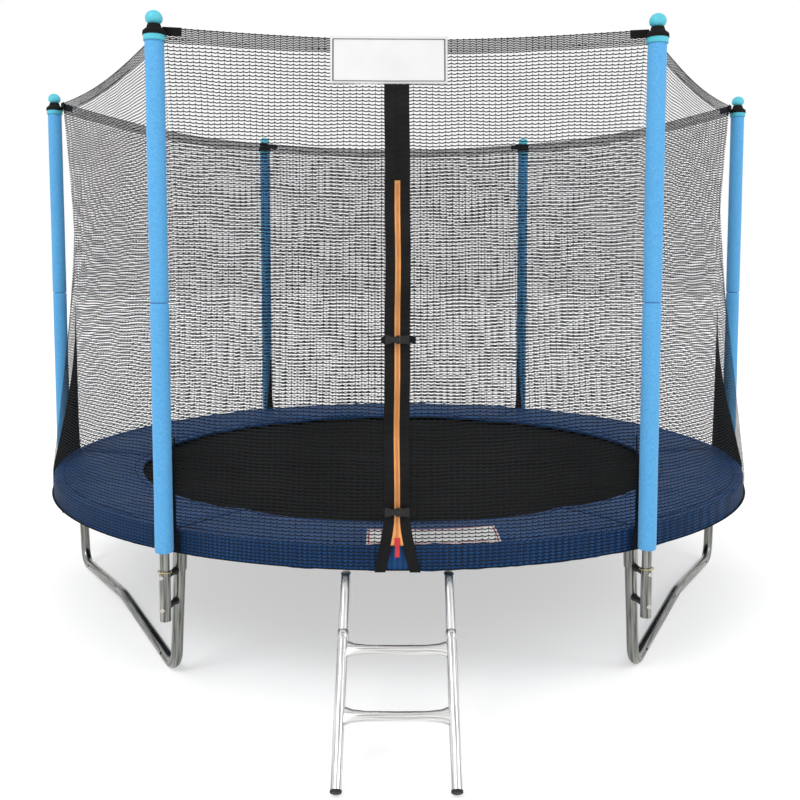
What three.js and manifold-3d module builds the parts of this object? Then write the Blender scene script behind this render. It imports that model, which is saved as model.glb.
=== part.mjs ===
// Round six-pole trampoline with a safety net and a hook-on ladder. Millimetres, +Z up, the ladder
// at the front (-Y). Everything is laid out around the mat's axis, and the whole group is moved at
// the end so that its origin is the middle of its footprint.
import * as THREE from "three";
import { mergeVertices } from "three/addons/utils/BufferGeometryUtils.js";
import Module from "manifold-3d";

const wasm = await Module();
wasm.setup();

const GAP = 0.3;
const SECTORS = 6;
const SECTOR = Math.PI / 3;
const STEPS = 12;
const POST_SIDES = 12;

const RAIL = { radius: 1204, height: 385, outer: 16, inner: 14.5, lead: Math.PI / 18 };
const SOCKET = { outer: 18.8, bore: 16.8, bottom: 304, boreTop: 362 };
const LEG = { outer: 15.9, inner: 14.4, slant: 0.15, bend: 60, footReach: 546, rise: 42, kink: 260, seam: 60 };
const POLE = { radius: 1265, outer: 12.5, inner: 11.3, bottom: 200, top: 1695 };
const BASE = { outer: 14.5, bore: 12.9, bottom: 188, top: 317, bolts: [320 - 14, 220], spacer: 8 };
const FOAM = { outer: 25, bore: 13, bottom: 371, top: 1696 };
const MAT = { radius: 1030, thickness: 3 };
const SPRING = { count: 48, sets: 3, radius: 9, inner: 1034, outer: 1186 };
const STRIP = { inner: 1030.8, outer: 1036 };
const PAD = { inner: 930, skirt: 1228, outer: 1230.6, bottom: 358 };
const NET = { foot: 1231.4, corner: 1233, rim: 426, bottom: 362, top: 1714, sag: 28, waist: 30, thickness: 2.6 };
const FRONT_TURN = -0.0227;
const DOOR = { width: 68, bottom: 368, top: 1572, thickness: 1.6, splitHeight: 105, splitWidth: 26 };
const SLIDER = { height: 398, width: 13, length: 22, depth: 4.5 };
const BUCKLES = { upper: 930, lower: 510 };
const LABEL = { width: 297, height: 122, x: -46, bottom: 1573, thickness: 1.2 };
const LADDER = {
  outer: 12.5,
  inner: 11.2,
  halfWidth: 127.5,
  top: [-1241, 343],
  foot: [-1604, 9.4],
  rungs: [0.364, 0.675],
};
const HOOK = { centre: -1196.8, inner: 18.6, outer: 21.6, width: 20 };

const steel = { color: 0xb4b8bc, roughness: 0.32, metalness: 0.9 };
const brightSteel = { color: 0xd6d9dc, roughness: 0.25, metalness: 0.9 };
const foamBlue = { color: 0x58b0e6, roughness: 0.8, metalness: 0 };
const capBlue = { color: 0x4cc0dc, roughness: 0.45, metalness: 0 };
const navy = { color: 0x1c3c78, roughness: 0.55, metalness: 0 };
const blackCloth = { color: 0x161618, roughness: 0.9, metalness: 0 };
const blackPlastic = { color: 0x1b1b1d, roughness: 0.5, metalness: 0 };
const red = { color: 0xb01822, roughness: 0.4, metalness: 0.1 };
const white = { color: 0xf0efec, roughness: 0.7, metalness: 0 };

const trampoline = new THREE.Group();
trampoline.name = "trampoline";

function place(parent, name, geometry, look) {
  const mesh = new THREE.Mesh(geometry, new THREE.MeshStandardMaterial(look));
  mesh.name = name;
  parent.add(mesh);
  return mesh;
}

function turnedGroup(angle) {
  const group = new THREE.Group();
  group.rotation.z = angle;
  trampoline.add(group);
  return group;
}

function toSolid(geometry) {
  const bare = geometry.clone();
  bare.deleteAttribute("normal");
  bare.deleteAttribute("uv");
  const merged = mergeVertices(bare, 1e-4);
  return new wasm.Manifold(
    new wasm.Mesh({
      numProp: 3,
      vertProperties: new Float32Array(merged.attributes.position.array),
      triVerts: new Uint32Array(merged.index.array),
    }),
  );
}

function toGeometry(solid) {
  const mesh = solid.getMesh();
  const geometry = new THREE.BufferGeometry();
  geometry.setAttribute("position", new THREE.BufferAttribute(mesh.vertProperties, 3));
  geometry.setIndex(new THREE.BufferAttribute(mesh.triVerts, 1));
  geometry.computeVertexNormals();
  return geometry;
}

// The union of the first list of geometries, less the second list.
function carve(added, removed = []) {
  let solid = toSolid(added[0]);
  for (const geometry of added.slice(1)) solid = solid.add(toSolid(geometry));
  for (const geometry of removed) solid = solid.subtract(toSolid(geometry));
  return toGeometry(solid);
}

function circlePoints(radius, sides, x = 0, y = 0) {
  const points = [];
  for (let i = 0; i < sides; i++) {
    const a = ((i + 0.5) / sides) * 2 * Math.PI;
    points.push(new THREE.Vector2(x + radius * Math.cos(a), y + radius * Math.sin(a)));
  }
  return points;
}

function ringShape(outer, inner, sides, x = 0, y = 0) {
  const shape = new THREE.Shape(circlePoints(outer, sides, x, y));
  if (inner > 0) shape.holes.push(new THREE.Path(circlePoints(inner, sides, x, y)));
  return shape;
}

function polygon(points) {
  return new THREE.Shape(points.map(([x, y]) => new THREE.Vector2(x, y)));
}

// A section drawn as (radius, height), swept around the Z axis between two angles.
function swept(shape, from, to, steps = STEPS) {
  const geometry = new THREE.ExtrudeGeometry(shape, { depth: 1, steps, bevelEnabled: false });
  const position = geometry.attributes.position;
  for (let i = 0; i < position.count; i++) {
    const angle = to + (from - to) * position.getZ(i);
    const radius = position.getX(i);
    position.setXYZ(i, radius * Math.cos(angle), radius * Math.sin(angle), position.getY(i));
  }
  geometry.computeVertexNormals();
  return geometry;
}

// A curve that visits its points one by one, so that bends can be sampled more finely than straights.
class Route extends THREE.Curve {
  constructor(points) {
    super();
    this.points = points;
  }
  getPointAt(u, target = new THREE.Vector3()) {
    const last = this.points.length - 1;
    return target.copy(this.points[Math.min(last, Math.round(u * last))]);
  }
  getPoint(t, target) {
    return this.getPointAt(t, target);
  }
  getTangentAt(u, target = new THREE.Vector3()) {
    const last = this.points.length - 1;
    const i = Math.min(last, Math.round(u * last));
    const before = this.points[Math.max(0, i - 1)];
    const after = this.points[Math.min(last, i + 1)];
    const here = this.points[i];
    const inward = here.clone().sub(before).normalize();
    const outward = after.clone().sub(here).normalize();
    return target.copy(inward.add(outward)).normalize();
  }
  getTangent(t, target) {
    return this.getTangentAt(t, target);
  }
}

function tube(points, outer, inner, sides = 10) {
  return new THREE.ExtrudeGeometry(ringShape(outer, inner, sides), {
    steps: points.length - 1,
    bevelEnabled: false,
    extrudePath: new Route(points),
  });
}

// A closed (radius, height) profile turned about the Z axis.
function turned(profile, sides) {
  const points = profile.map(([r, z]) => new THREE.Vector2(r, z));
  const geometry = new THREE.LatheGeometry(points, sides);
  geometry.rotateX(Math.PI / 2);
  return geometry;
}

function hollowPost(outer, inner, bottom, top, sides) {
  return turned(
    [
      [inner, bottom],
      [outer, bottom],
      [outer, top],
      [inner, top],
      [inner, bottom],
    ],
    sides,
  );
}

// A box with its corners at the two given points.
function block([x0, y0, z0], [x1, y1, z1]) {
  const geometry = new THREE.BoxGeometry(x1 - x0, y1 - y0, z1 - z0);
  geometry.translate((x0 + x1) / 2, (y0 + y1) / 2, (z0 + z1) / 2);
  return geometry;
}

// A round bar from one point to another.
function rod(from, to, radius, sides = 12) {
  const along = to.clone().sub(from);
  const geometry = new THREE.CylinderGeometry(radius, radius, along.length(), sides);
  const turn = new THREE.Quaternion();
  turn.setFromUnitVectors(new THREE.Vector3(0, 1, 0), along.clone().normalize());
  geometry.applyQuaternion(turn);
  const middle = from.clone().add(to).multiplyScalar(0.5);
  geometry.translate(middle.x, middle.y, middle.z);
  return geometry;
}

// The corner of a path rounded to a radius: the points of the arc between its two straights.
function roundedCorner(before, corner, after, radius, steps) {
  const back = before.clone().sub(corner).normalize();
  const ahead = after.clone().sub(corner).normalize();
  const half = back.angleTo(ahead) / 2;
  const reach = radius / Math.tan(half);
  const middle = back.clone().add(ahead).normalize().multiplyScalar(radius / Math.sin(half)).add(corner);
  const start = corner.clone().addScaledVector(back, reach).sub(middle);
  const end = corner.clone().addScaledVector(ahead, reach).sub(middle);
  const turn = start.angleTo(end);
  const axis = start.clone().cross(end).normalize();
  const points = [];
  for (let i = 0; i <= steps; i++) {
    points.push(start.clone().applyAxisAngle(axis, (turn * i) / steps).add(middle));
  }
  return points;
}

// Poles come in pairs that share a leg. The side is +1 where that leg's middle lies at a larger angle.
const poles = [];
for (let i = 0; i < SECTORS; i++) {
  poles.push({ number: i + 1, angle: i * SECTOR, side: i % 2 === 1 ? 1 : -1 });
}

// The centre of a leg's upright at a height, in a frame turned to its pole.
function uprightCentre(side, height) {
  const shift = (RAIL.height - height) * LEG.slant;
  const chordTurn = SECTOR / 2;
  return new THREE.Vector3(
    RAIL.radius - shift * Math.sin(chordTurn),
    side * shift * Math.cos(chordTurn),
    height,
  );
}

function makeRail(pole) {
  const from = -SECTOR + RAIL.lead + GAP / RAIL.radius;
  const to = RAIL.lead;
  const bar = swept(ringShape(RAIL.outer, 0, 10, RAIL.radius, RAIL.height), from, to);
  const hollow = swept(ringShape(RAIL.inner, 0, 6, RAIL.radius, RAIL.height), from - 0.01, to + 0.01);
  const top = uprightCentre(pole.side, RAIL.height);
  const bottom = uprightCentre(pole.side, SOCKET.bottom);
  const boreTop = uprightCentre(pole.side, SOCKET.boreTop);
  const boreEnd = uprightCentre(pole.side, SOCKET.bottom - 20);
  const socket = rod(top, bottom, SOCKET.outer);
  const bore = rod(boreTop, boreEnd, SOCKET.bore, 12);
  return carve([bar, socket], [hollow, bore]);
}

// A leg in its own plane: Y along the ground between the feet, Z up.
function legCorners(side, cornerHeight) {
  const x = RAIL.radius * Math.cos(SECTOR / 2);
  const railY = RAIL.radius * Math.sin(SECTOR / 2);
  const topHeight = SOCKET.boreTop - 2;
  const topY = side * (railY - (RAIL.height - topHeight) * LEG.slant);
  return {
    top: new THREE.Vector3(x, topY, topHeight),
    foot: new THREE.Vector3(x, side * LEG.footReach, cornerHeight),
    apex: new THREE.Vector3(x, 0, cornerHeight + LEG.rise),
    farFoot: new THREE.Vector3(x, -side * LEG.footReach, cornerHeight),
  };
}

function footBend({ top, foot, apex }) {
  return roundedCorner(top, foot, apex, LEG.bend, 6);
}

// The height of the foot's corner that puts the lowest point of the bend on the ground.
function legCornerHeight() {
  const bend = footBend(legCorners(1, 0));
  return LEG.outer - Math.min(...bend.map((point) => point.z));
}

// Half a leg. The +1 half also holds the raised bend in the middle, and ends just past it.
function makeLegHalf(side) {
  const corners = legCorners(side, legCornerHeight());
  const { top, foot, apex, farFoot } = corners;
  const points = [top, ...footBend(corners)];
  const seamSide = side > 0 ? farFoot : foot;
  const along = seamSide.clone().sub(apex).normalize();
  if (side > 0) {
    points.push(...roundedCorner(foot, apex, farFoot, LEG.kink, 3));
    points.push(apex.clone().addScaledVector(along, LEG.seam));
  } else {
    points.push(apex.clone().addScaledVector(along, LEG.seam + GAP));
  }
  return tube(points, LEG.outer, LEG.inner);
}

function makeFrame() {
  for (const pole of poles) {
    place(turnedGroup(pole.angle), "rail_" + pole.number, makeRail(pole), steel);
  }
  const names = ["back", "left", "right"];
  const middles = [1.5, 3.5, 5.5];
  names.forEach((name, i) => {
    const group = turnedGroup(middles[i] * SECTOR);
    place(group, "leg_" + name + "_a", makeLegHalf(1), steel);
    place(group, "leg_" + name + "_b", makeLegHalf(-1), steel);
  });
}

// The sleeve that takes a pole's foot, with two bolted spacers that reach to the leg.
function makePoleBase(side) {
  const centre = new THREE.Vector3(POLE.radius, 0, 0);
  const sleeve = hollowPost(BASE.outer, BASE.bore - 2, BASE.bottom, BASE.top, POST_SIDES);
  sleeve.translate(POLE.radius, 0, 0);
  const stubs = [];
  BASE.bolts.forEach((height, i) => {
    const leg = uprightCentre(side, height);
    const from = centre.clone().setZ(height);
    const direction = leg.clone().sub(from).normalize();
    const clearance = i === 0 ? SOCKET.outer + 0.8 : LEG.outer + 1;
    const end = leg.clone().addScaledVector(direction, -clearance);
    stubs.push(rod(from, end, BASE.spacer, 8));
    stubs.push(rod(from, from.clone().addScaledVector(direction, -BASE.outer - 5), 5, 6));
  });
  const bore = rod(
    centre.clone().setZ(BASE.bottom - 5),
    centre.clone().setZ(BASE.top + 5),
    BASE.bore,
    POST_SIDES,
  );
  return carve([sleeve, ...stubs], [bore]);
}

function capProfile() {
  const z = FOAM.top + GAP;
  return [
    [0, z],
    [FOAM.outer + GAP, z],
    [FOAM.outer + GAP, z - 22],
    [27.4, z - 22],
    [27.4, z - 1.5],
    [25.8, z + 0.8],
    [11.5, z + 3.2],
    [10.5, z + 20],
    [16.5, z + 22],
    [21, z + 27.5],
    [21.8, z + 34],
    [19.5, z + 42],
    [12.5, z + 49.5],
    [0, z + 53],
  ];
}

function foamProfile() {
  const { outer, bore, bottom, top } = FOAM;
  return [
    [bore, bottom],
    [outer - 2, bottom],
    [outer, bottom + 3],
    [outer, top - 3],
    [outer - 2, top],
    [bore, top],
    [bore, bottom],
  ];
}

function makePoles() {
  for (const pole of poles) {
    const group = turnedGroup(pole.angle);
    place(group, "pole_base_" + pole.number, makePoleBase(pole.side), steel);
    const post = hollowPost(POLE.outer, POLE.inner, POLE.bottom, POLE.top, POST_SIDES);
    place(group, "pole_" + pole.number, post, steel).position.x = POLE.radius;
    const foam = turned(foamProfile(), POST_SIDES);
    place(group, "foam_" + pole.number, foam, foamBlue).position.x = POLE.radius;
    const cap = turned(capProfile(), POST_SIDES);
    place(group, "cap_" + pole.number, cap, capBlue).position.x = POLE.radius;
  }
}

function makeMat() {
  const mat = new THREE.CylinderGeometry(MAT.radius, MAT.radius, MAT.thickness, SECTORS * STEPS);
  mat.rotateX(Math.PI / 2);
  place(trampoline, "jump_mat", mat, blackCloth).position.z = RAIL.height;
}

// A third of the springs, joined along the mat's edge by the strip that holds their inner hooks.
function makeSpringSet() {
  const span = (2 * Math.PI) / SPRING.sets;
  const perSet = SPRING.count / SPRING.sets;
  const stripShape = polygon([
    [STRIP.inner, RAIL.height - 1.5],
    [STRIP.outer, RAIL.height - 1.5],
    [STRIP.outer, RAIL.height + 1.5],
    [STRIP.inner, RAIL.height + 1.5],
  ]);
  const pieces = [swept(stripShape, GAP / MAT.radius, span, STEPS * 2)];
  for (let i = 0; i < perSet; i++) {
    const angle = ((i + 0.5) / perSet) * span;
    const inner = new THREE.Vector3(SPRING.inner, 0, RAIL.height);
    const outer = new THREE.Vector3(SPRING.outer, 0, RAIL.height);
    pieces.push(rod(inner, outer, SPRING.radius, 6).rotateZ(angle));
  }
  return carve(pieces);
}

function makeSprings() {
  for (let i = 0; i < SPRING.sets; i++) {
    const group = turnedGroup((i * 2 * Math.PI) / SPRING.sets);
    place(group, "spring_set_" + (i + 1), makeSpringSet(), steel);
  }
}

// One sewn segment of the spring pad: a padded top over the springs and rail, and a hanging skirt.
function makePadSegment() {
  const shape = polygon([
    [PAD.inner, 390],
    [1030, 395.5],
    [1165, 396.5],
    [1175, 408],
    [PAD.skirt, 408],
    [PAD.skirt, PAD.bottom],
    [PAD.outer, PAD.bottom],
    [PAD.outer, 419],
    [1224, 425],
    [1090, 423],
    [955, 413],
    [PAD.inner, 403],
  ]);
  return swept(shape, GAP / PAD.inner, SECTOR);
}

// The net's inner face: a circle at the rim, straightening to a chord between the corners at the top,
// and drawn in at the corners halfway up.
function netPoint(along, height) {
  const margin = GAP / NET.foot;
  const angle = margin + along * (SECTOR - 2 * margin);
  const foot = new THREE.Vector2(NET.foot * Math.cos(angle), NET.foot * Math.sin(angle));
  const first = new THREE.Vector2(NET.corner * Math.cos(margin), NET.corner * Math.sin(margin));
  const end = SECTOR - margin;
  const second = new THREE.Vector2(NET.corner * Math.cos(end), NET.corner * Math.sin(end));
  const chord = first.lerp(second, along);
  const rise = Math.max(0, (height - NET.rim) / (NET.top - NET.rim));
  const point = foot.lerp(chord, rise);
  const waist = NET.waist * Math.sin(Math.PI * rise) * Math.cos(Math.PI * along) ** 2;
  return point.setLength(point.length() - waist);
}

function makeNetPanel() {
  const heights = [NET.bottom, NET.rim, 740, 1060, 1380, NET.top];
  const rows = heights.length - 1;
  const geometry = new THREE.BoxGeometry(1, 1, 1, STEPS, 1, rows);
  const position = geometry.attributes.position;
  for (let i = 0; i < position.count; i++) {
    const along = 0.5 - position.getX(i);
    const row = Math.round((position.getZ(i) + 0.5) * rows);
    const height = heights[row];
    const point = netPoint(along, height);
    if (position.getY(i) > 0) point.setLength(point.length() + NET.thickness);
    const sag = row === rows ? NET.sag * Math.sin(Math.PI * along) : 0;
    position.setXYZ(i, point.x, point.y, height - sag);
  }
  turnDiagonals(geometry.index.array, geometry.groups[3]);
  geometry.computeVertexNormals();
  return geometry;
}

// Splits each of a face group's quads along its other diagonal, so that the net's two faces stay parallel.
function turnDiagonals(index, group) {
  for (let i = group.start; i < group.start + group.count; i += 6) {
    const [a, b, d, , c] = index.slice(i, i + 6);
    index.set([a, b, c, a, c, d], i);
  }
}

function makeSoftRing() {
  for (const pole of poles) {
    const group = turnedGroup(pole.angle);
    place(group, "pad_" + pole.number, makePadSegment(), navy);
    place(group, "net_" + pole.number, makeNetPanel(), blackCloth);
  }
}

// The front of the net is a slope: its lean from upright, and the Y of its outer face at a height.
const netFootY = NET.foot + NET.thickness;
const netTopY = NET.corner * Math.cos(SECTOR / 2) + NET.thickness;
const frontLean = Math.atan2(netFootY - netTopY, NET.top - NET.rim);
function frontY(height) {
  return -netFootY + (height - NET.rim) * Math.tan(frontLean);
}

// A group whose Z runs up the slope of the net's front from the given height.
function frontGroup(parent, height, clearance) {
  const group = new THREE.Group();
  group.position.set(0, frontY(height) - clearance, height);
  group.rotation.x = -frontLean;
  parent.add(group);
  return group;
}

function makeDoor(front) {
  const group = frontGroup(front, DOOR.bottom, 1.6);
  const length = (DOOR.top - DOOR.bottom) / Math.cos(frontLean);
  const half = DOOR.width / 2;
  const spread = 12;
  const shape = polygon([
    [-half - spread, 0],
    [-DOOR.splitWidth / 2 - 4, 0],
    [0, DOOR.splitHeight],
    [DOOR.splitWidth / 2 + 4, 0],
    [half + spread, 0],
    [half, DOOR.splitHeight + 30],
    [half, length],
    [-half, length],
    [-half, DOOR.splitHeight + 30],
  ]);
  const strip = new THREE.ExtrudeGeometry(shape, { depth: DOOR.thickness, bevelEnabled: false });
  strip.rotateX(Math.PI / 2);
  place(group, "door_strip", strip, blackCloth);
}

function makeSlider(front) {
  const group = frontGroup(front, SLIDER.height, 1.6 + DOOR.thickness + GAP);
  const half = SLIDER.width / 2;
  const body = block([-half, -SLIDER.depth, 28], [half, 0, 28 + SLIDER.length]);
  const tab = block([-4.5, -SLIDER.depth - 1.5, 0], [4.5, -SLIDER.depth + 0.5, 40]);
  place(group, "zip_slider", carve([body, tab]), red);
}

function makeBuckle(front, name, height) {
  const group = frontGroup(front, height, 1.6 + DOOR.thickness + GAP);
  const near = -9;
  const far = -19;
  const shell = block([-30, far, -11], [6, near, 11]);
  const foot = block([-30, near - 1, -9], [-20, -0.2, 9]);
  const pocket = block([-20, far + 2.4, -8], [20, near - 2.4, 8]);
  place(group, name + "_socket", carve([shell, foot], [pocket]), blackPlastic);
  const grip = block([6.5, far, -11], [30, near, 11]);
  const gripFoot = block([20, near - 1, -9], [30, -0.2, 9]);
  const tongue = block([-18, far + 2.9, -7.2], [10, near - 2.9, 7.2]);
  place(group, name + "_clip", carve([grip, gripFoot, tongue]), blackPlastic);
}

function makeLabel() {
  const group = frontGroup(trampoline, LABEL.bottom, 1.2);
  const half = LABEL.width / 2;
  const plate = block([LABEL.x - half, -LABEL.thickness, 0], [LABEL.x + half, 0, LABEL.height]);
  place(group, "label", plate, white);
}

function arcPoints(centreX, centreY, radius, from, to, steps) {
  const points = [];
  for (let i = 0; i <= steps; i++) {
    const a = from + ((to - from) * i) / steps;
    points.push([centreX + radius * Math.cos(a), centreY + radius * Math.sin(a)]);
  }
  return points;
}

// A bent strip that hugs the top rail and drops to the end of a ladder tube. Drawn in (Y, Z).
function makeHook(x) {
  const degree = Math.PI / 180;
  const { centre, inner, outer, width } = HOOK;
  const [endY, endZ] = LADDER.top;
  const band = [
    ...arcPoints(centre, RAIL.height, outer, -20 * degree, 240 * degree, 10),
    [centre - 12, endZ + 4],
    [endY - 7, endZ + 4],
    [endY - 7, endZ],
    [centre - 9, endZ],
    ...arcPoints(centre, RAIL.height, inner, 240 * degree, -20 * degree, 10),
  ];
  const strip = new THREE.ExtrudeGeometry(polygon(band), { depth: width, bevelEnabled: false });
  const position = strip.attributes.position;
  for (let i = 0; i < position.count; i++) {
    const y = position.getX(i);
    const z = position.getY(i);
    position.setXYZ(i, x - width / 2 + position.getZ(i), y, z);
  }
  return strip;
}

function makeRung(share) {
  const y = LADDER.top[0] + (LADDER.foot[0] - LADDER.top[0]) * share;
  const z = LADDER.top[1] + (LADDER.foot[1] - LADDER.top[1]) * share;
  const half = LADDER.halfWidth;
  const start = new THREE.Vector3(-half, 0, 0);
  const rung = rod(start, new THREE.Vector3(half, 0, 0), 12.4, 12);
  rung.scale(1, 1.35, 0.78);
  rung.translate(0, y, z);
  return rung;
}

function makeLadder() {
  const tubes = [];
  const hollows = [];
  const hooks = [];
  for (const side of [-1, 1]) {
    const x = side * LADDER.halfWidth;
    const top = new THREE.Vector3(x, ...LADDER.top);
    const foot = new THREE.Vector3(x, ...LADDER.foot);
    const along = foot.clone().sub(top).normalize();
    const collarTop = top.clone().lerp(foot, 0.27);
    tubes.push(rod(top, foot, LADDER.outer, 12));
    tubes.push(rod(collarTop, collarTop.clone().addScaledVector(along, 24), LADDER.outer + 1.6, 12));
    const deep = foot.clone().addScaledVector(along, -30);
    hollows.push(rod(deep, foot.clone().addScaledVector(along, 5), LADDER.inner, 12));
    hooks.push(makeHook(x));
  }
  return carve([...tubes, ...hooks, ...LADDER.rungs.map(makeRung)], hollows);
}

function makeFront() {
  const front = turnedGroup(FRONT_TURN);
  makeDoor(front);
  makeSlider(front);
  makeBuckle(front, "buckle_upper", BUCKLES.upper);
  makeBuckle(front, "buckle_lower", BUCKLES.lower);
  makeLabel();
  place(front, "ladder", makeLadder(), brightSteel);
}

makeFrame();
makePoles();
makeMat();
makeSprings();
makeSoftRing();
makeFront();

const bounds = new THREE.Box3().setFromObject(trampoline, true);
const middle = bounds.getCenter(new THREE.Vector3());
trampoline.position.set(-middle.x, -middle.y, -bounds.min.z);

export default trampoline;
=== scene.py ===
import math

import bmesh
import bpy
import numpy as np
from mathutils import Matrix, Vector, noise


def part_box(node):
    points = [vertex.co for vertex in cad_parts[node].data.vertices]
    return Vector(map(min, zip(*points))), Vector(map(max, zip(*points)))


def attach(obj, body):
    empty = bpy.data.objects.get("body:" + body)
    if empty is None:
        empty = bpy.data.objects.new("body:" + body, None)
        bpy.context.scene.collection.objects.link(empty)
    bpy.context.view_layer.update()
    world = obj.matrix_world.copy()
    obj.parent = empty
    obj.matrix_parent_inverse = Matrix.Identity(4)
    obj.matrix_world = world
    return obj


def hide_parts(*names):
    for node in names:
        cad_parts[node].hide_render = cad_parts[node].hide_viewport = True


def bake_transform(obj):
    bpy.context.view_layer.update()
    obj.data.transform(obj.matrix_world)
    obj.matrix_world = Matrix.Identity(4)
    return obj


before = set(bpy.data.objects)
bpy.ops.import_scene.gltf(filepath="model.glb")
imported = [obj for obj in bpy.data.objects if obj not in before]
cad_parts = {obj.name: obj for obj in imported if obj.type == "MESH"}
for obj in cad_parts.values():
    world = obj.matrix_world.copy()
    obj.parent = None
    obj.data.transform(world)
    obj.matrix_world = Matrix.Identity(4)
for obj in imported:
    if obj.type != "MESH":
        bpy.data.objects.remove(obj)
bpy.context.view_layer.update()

MAT_LOW, MAT_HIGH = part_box("jump_mat")
CENTRE_Y = (MAT_LOW[1] + MAT_HIGH[1]) / 2
FRONT_TURN = -0.0227

# Sizes are in metres and angles in radians. The six poles stand round the mat's middle.
POLES = 6
SECTOR = math.tau / POLES
RAIL_R, RAIL_Z, RAIL_TUBE = 1.204, 0.385, 0.016
RAIL_LEAD = math.pi / 18
LEG_TUBE, LEG_SLANT, LEG_REACH, LEG_RISE, LEG_BEND = 0.0159, 0.15, 0.546, 0.042, 0.060
SOCKET_TUBE, SOCKET_BOTTOM = 0.0188, 0.304
POLE_R, POLE_TUBE = 1.265, 0.0125
FOAM_R, FOAM_BOTTOM, FOAM_TOP, FOAM_JOINT = 0.025, 0.371, 1.696, 1.020
BASE_R, BASE_BOTTOM, BASE_TOP = 0.0145, 0.188, 0.317
MAT_R = 1.030
SPRINGS, SPRING_OUT, SPRING_IN = 48, 1.1855, 1.0345
PAD_IN, PAD_OUT, PAD_TOP, PAD_LOW = 0.930, 1.2304, 0.425, 0.358
PAD_EDGE, PAD_SPAN = 0.4025, 22
NET_R, NET_CORNER, NET_WAIST, NET_SAG = 1.2328, 1.2345, 0.030, 0.028
NET_LOW, NET_RIM, NET_TOP = 0.364, 0.426, 1.714
NET_SKIRT, NET_TALL = NET_RIM - NET_LOW, NET_TOP - NET_RIM
ROW_PITCH, WAVE, ROW_HALF, TIE_HALF = 0.0089, 0.016, 0.0015, 0.0006
DOOR_LOW, DOOR_TOP, FLARE_TOP = 0.360, 1.572, 0.500
ZIP_LOW, ZIP_TOP = 0.428, 1.328


# ---- camera, light and floor

def add_object(name, data):
    made = bpy.data.objects.new(name, data)
    bpy.context.scene.collection.objects.link(made)
    return made


def make_camera():
    data = bpy.data.cameras.new("camera")
    data.lens = 41.21
    data.sensor_width = 36
    data.shift_y = -0.075
    data.clip_end = 100
    camera = add_object("camera", data)
    camera.location = (-0.0675, -3.446 + CENTRE_Y, 1.102)
    camera.rotation_euler = (math.radians(90 - 4.323), 0, math.radians(-1.198))
    bpy.context.scene.camera = camera


def make_area_light(name, place, target, size, power):
    data = bpy.data.lights.new(name, "AREA")
    data.shape = "DISK"
    data.size = size
    data.energy = power
    lamp = add_object(name, data)
    lamp.location = place
    lamp.rotation_euler = (Vector(target) - Vector(place)).to_track_quat("-Z", "Y").to_euler()


def make_studio():
    world = bpy.data.worlds.new("studio")
    world.use_nodes = True
    background = world.node_tree.nodes["Background"]
    background.inputs["Color"].default_value = (1, 1, 1, 1)
    background.inputs["Strength"].default_value = 1.0
    bpy.context.scene.world = world
    bpy.context.scene.view_settings.view_transform = "Standard"
    make_area_light("key", (-2.5, -3.5, 4.5), (0, 0, 0.8), 2.5, 90)
    make_area_light("fill", (3.5, -2.5, 3.0), (0, 0, 0.6), 2.0, 30)
    bpy.ops.mesh.primitive_circle_add(vertices=64, radius=40, fill_type="NGON")
    floor = bpy.context.object
    floor.name = "floor"
    paint = Paint("floor", (0.62, 0.62, 0.62), 0.95)
    paint.shader.inputs["Emission Color"].default_value = (1, 1, 1, 1)
    paint.shader.inputs["Emission Strength"].default_value = 0.50
    floor.data.materials.append(paint.material)
    floor.location.z = -0.0005


# ---- materials

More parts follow.
